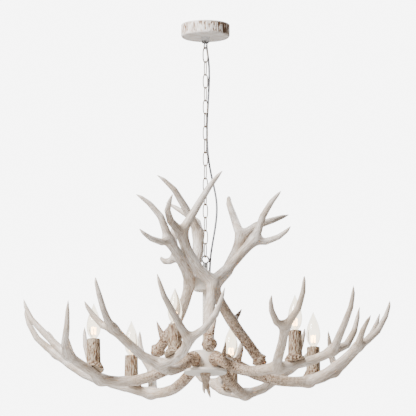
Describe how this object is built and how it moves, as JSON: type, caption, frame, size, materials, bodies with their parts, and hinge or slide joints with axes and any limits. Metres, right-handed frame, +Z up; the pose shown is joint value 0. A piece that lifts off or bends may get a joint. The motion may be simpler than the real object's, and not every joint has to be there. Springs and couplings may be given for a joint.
{
  "type": "antler chandelier",
  "caption": "Ceiling chandelier of cast antlers round a short column, with candle lamps on the antlers, hung by a chain and cord from a round canopy.",
  "frame": {"origin": "middle of the ceiling face, where the bracket and the canopy meet the ceiling", "axes": "+Z is up towards the ceiling, +X is right and +Y is away as the lamp is seen from the front"},
  "size_m": [0.8949, 0.8746, 0.9293],
  "materials": {
    "bracket_steel": "zinc-plated steel",
    "terminal_plastic": "moulded nylon",
    "canopy_finish": "whitewashed, bark-like texture round the side and smooth below",
    "collar_finish": "off-white paint",
    "loop_metal": "brushed grey antique paint",
    "chain_metal": "antique cream paint, worn to brown at the wires' crossings",
    "cord_jacket": "silver-grey plastic jacket",
    "hub_finish": "cream paint",
    "antler_resin": "cast resin, off-white with brown antiquing near the burrs",
    "sleeve_resin": "cast resin with deep bark grooves, brown antiquing",
    "socket_plastic": "moulded plastic",
    "bulb_glass": "clear glass, warm filament"
  },
  "bodies": {
    "ceiling": {"ceiling_bracket": "bracket_steel", "terminal_block": "terminal_plastic", "threaded_nipple": "bracket_steel", "nipple_nut": "bracket_steel", "canopy_loop": "loop_metal", "power_cord": "cord_jacket"},
    "canopy": {"canopy": "canopy_finish"},
    "collar": {"canopy_collar": "collar_finish"},
    "link_01": {"chain_link_01": "chain_metal"},
    "link_02": {"chain_link_02": "chain_metal"},
    "link_03": {"chain_link_03": "chain_metal"},
    "link_04": {"chain_link_04": "chain_metal"},
    "link_05": {"chain_link_05": "chain_metal"},
    "link_06": {"chain_link_06": "chain_metal"},
    "link_07": {"chain_link_07": "chain_metal"},
    "link_08": {"chain_link_08": "chain_metal"},
    "link_09": {"chain_link_09": "chain_metal"},
    "link_10": {"chain_link_10": "chain_metal"},
    "link_11": {"chain_link_11": "chain_metal"},
    "link_12": {"chain_link_12": "chain_metal"},
    "link_13": {"chain_link_13": "chain_metal"},
    "link_14": {"chain_link_14": "chain_metal"},
    "link_15": {"chain_link_15": "chain_metal"},
    "link_16": {"chain_link_16": "chain_metal"},
    "fixture": {"hub_loop": "loop_metal", "upper_hub": "hub_finish", "upper_hub_lid": "hub_finish", "centre_pipe": "hub_finish", "pipe_nuts": "bracket_steel", "lower_hub": "hub_finish", "bottom_plate": "hub_finish", "finial": "antler_resin", "lower_antler_1": "antler_resin", "lower_antler_2": "antler_resin", "lower_antler_3": "antler_resin", "lower_antler_4": "antler_resin", "lower_antler_5": "antler_resin", "lower_antler_6": "antler_resin", "standing_antler_1": "antler_resin", "standing_antler_2": "antler_resin", "standing_antler_3": "antler_resin", "antler_screws": "bracket_steel", "candle_sleeve_1": "sleeve_resin", "candle_sleeve_2": "sleeve_resin", "candle_sleeve_3": "sleeve_resin", "candle_sleeve_4": "sleeve_resin", "candle_sleeve_5": "sleeve_resin", "candle_sleeve_6": "sleeve_resin", "lamp_socket_1": "socket_plastic", "lamp_socket_2": "socket_plastic", "lamp_socket_3": "socket_plastic", "lamp_socket_4": "socket_plastic", "lamp_socket_5": "socket_plastic", "lamp_socket_6": "socket_plastic"},
    "bulb_1": {"candle_bulb_1": "bulb_glass"},
    "bulb_2": {"candle_bulb_2": "bulb_glass"},
    "bulb_3": {"candle_bulb_3": "bulb_glass"},
    "bulb_4": {"candle_bulb_4": "bulb_glass"},
    "bulb_5": {"candle_bulb_5": "bulb_glass"},
    "bulb_6": {"candle_bulb_6": "bulb_glass"}
  },
  "joints": [
    {"name": "canopy_slide", "type": "slide", "parent": "ceiling", "child": "canopy", "axis": [0, 0, -1], "range_m": [0, 0.015], "deforming": ["power_cord"]},
    {"name": "collar_slide", "type": "slide", "parent": "ceiling", "child": "collar", "axis": [0, 0, -1], "range_m": [0, 0.015]},
    {"name": "chain_swing_00", "type": "hinge", "parent": "ceiling", "child": "link_01", "pos_m": [0, 0, -0.06], "axis": [-0.4226, 0.9063, 0], "range_deg": [-25, 25], "deforming": ["power_cord"]},
    {"name": "chain_swing_01", "type": "hinge", "parent": "link_01", "child": "link_02", "pos_m": [0, 0, -0.09495], "axis": [0.9063, 0.4226, 0], "range_deg": [-25, 25], "deforming": ["power_cord"]},
    {"name": "chain_swing_02", "type": "hinge", "parent": "link_02", "child": "link_03", "pos_m": [0, 0, -0.12725], "axis": [0.4226, -0.9063, 0], "range_deg": [-25, 25], "deforming": ["power_cord"]},
    {"name": "chain_swing_03", "type": "hinge", "parent": "link_03", "child": "link_04", "pos_m": [0, 0, -0.15975], "axis": [-0.9063, -0.4226, 0], "range_deg": [-25, 25], "deforming": ["power_cord"]},
    {"name": "chain_swing_04", "type": "hinge", "parent": "link_04", "child": "link_05", "pos_m": [0, 0, -0.19225], "axis": [-0.4226, 0.9063, 0], "range_deg": [-25, 25], "deforming": ["power_cord"]},
    {"name": "chain_swing_05", "type": "hinge", "parent": "link_05", "child": "link_06", "pos_m": [0, 0, -0.22475], "axis": [0.9063, 0.4226, 0], "range_deg": [-25, 25], "deforming": ["power_cord"]},
    {"name": "chain_swing_06", "type": "hinge", "parent": "link_06", "child": "link_07", "pos_m": [0, 0, -0.25725], "axis": [0.4226, -0.9063, 0], "range_deg": [-25, 25], "deforming": ["power_cord"]},
    {"name": "chain_swing_07", "type": "hinge", "parent": "link_07", "child": "link_08", "pos_m": [0, 0, -0.28975], "axis": [-0.9063, -0.4226, 0], "range_deg": [-25, 25], "deforming": ["power_cord"]},
    {"name": "chain_swing_08", "type": "hinge", "parent": "link_08", "child": "link_09", "pos_m": [0, 0, -0.32225], "axis": [-0.4226, 0.9063, 0], "range_deg": [-25, 25], "deforming": ["power_cord"]},
    {"name": "chain_swing_09", "type": "hinge", "parent": "link_09", "child": "link_10", "pos_m": [0, 0, -0.35475], "axis": [0.9063, 0.4226, 0], "range_deg": [-25, 25], "deforming": ["power_cord"]},
    {"name": "chain_swing_10", "type": "hinge", "parent": "link_10", "child": "link_11", "pos_m": [0, 0, -0.38725], "axis": [0.4226, -0.9063, 0], "range_deg": [-25, 25], "deforming": ["power_cord"]},
    {"name": "chain_swing_11", "type": "hinge", "parent": "link_11", "child": "link_12", "pos_m": [0, 0, -0.41975], "axis": [-0.9063, -0.4226, 0], "range_deg": [-25, 25], "deforming": ["power_cord"]},
    {"name": "chain_swing_12", "type": "hinge", "parent": "link_12", "child": "link_13", "pos_m": [0, 0, -0.45225], "axis": [-0.4226, 0.9063, 0], "range_deg": [-12, 12], "deforming": ["power_cord"]},
    {"name": "chain_swing_13", "type": "hinge", "parent": "link_13", "child": "link_14", "pos_m": [0, 0, -0.48475], "axis": [0.9063, 0.4226, 0], "range_deg": [-12, 12], "deforming": ["power_cord"]},
    {"name": "chain_swing_14", "type": "hinge", "parent": "link_14", "child": "link_15", "pos_m": [0, 0, -0.51725], "axis": [0.4226, -0.9063, 0], "range_deg": [-12, 12], "deforming": ["power_cord"]},
    {"name": "chain_swing_15", "type": "hinge", "parent": "link_15", "child": "link_16", "pos_m": [0, 0, -0.54975], "axis": [-0.9063, -0.4226, 0], "range_deg": [-12, 12], "deforming": ["power_cord"]},
    {"name": "chain_swing_16", "type": "hinge", "parent": "link_16", "child": "fixture", "pos_m": [0, 0, -0.58225], "axis": [-0.4226, 0.9063, 0], "range_deg": [-12, 12], "deforming": ["power_cord"]},
    {"name": "bulb_lift_1", "type": "slide", "parent": "fixture", "child": "bulb_1", "axis": [0, 0, 1], "range_m": [0, 0.03]},
    {"name": "bulb_lift_2", "type": "slide", "parent": "fixture", "child": "bulb_2", "axis": [0, 0, 1], "range_m": [0, 0.03]},
    {"name": "bulb_lift_3", "type": "slide", "parent": "fixture", "child": "bulb_3", "axis": [0, 0, 1], "range_m": [0, 0.03]},
    {"name": "bulb_lift_4", "type": "slide", "parent": "fixture", "child": "bulb_4", "axis": [0, 0, 1], "range_m": [0, 0.03]},
    {"name": "bulb_lift_5", "type": "slide", "parent": "fixture", "child": "bulb_5", "axis": [0, 0, 1], "range_m": [0, 0.03]},
    {"name": "bulb_lift_6", "type": "slide", "parent": "fixture", "child": "bulb_6", "axis": [0, 0, 1], "range_m": [0, 0.03]}
  ],
  "couplings": [
    {"joint": "collar_slide", "follows": "canopy_slide", "ratio": 1}
  ]
}
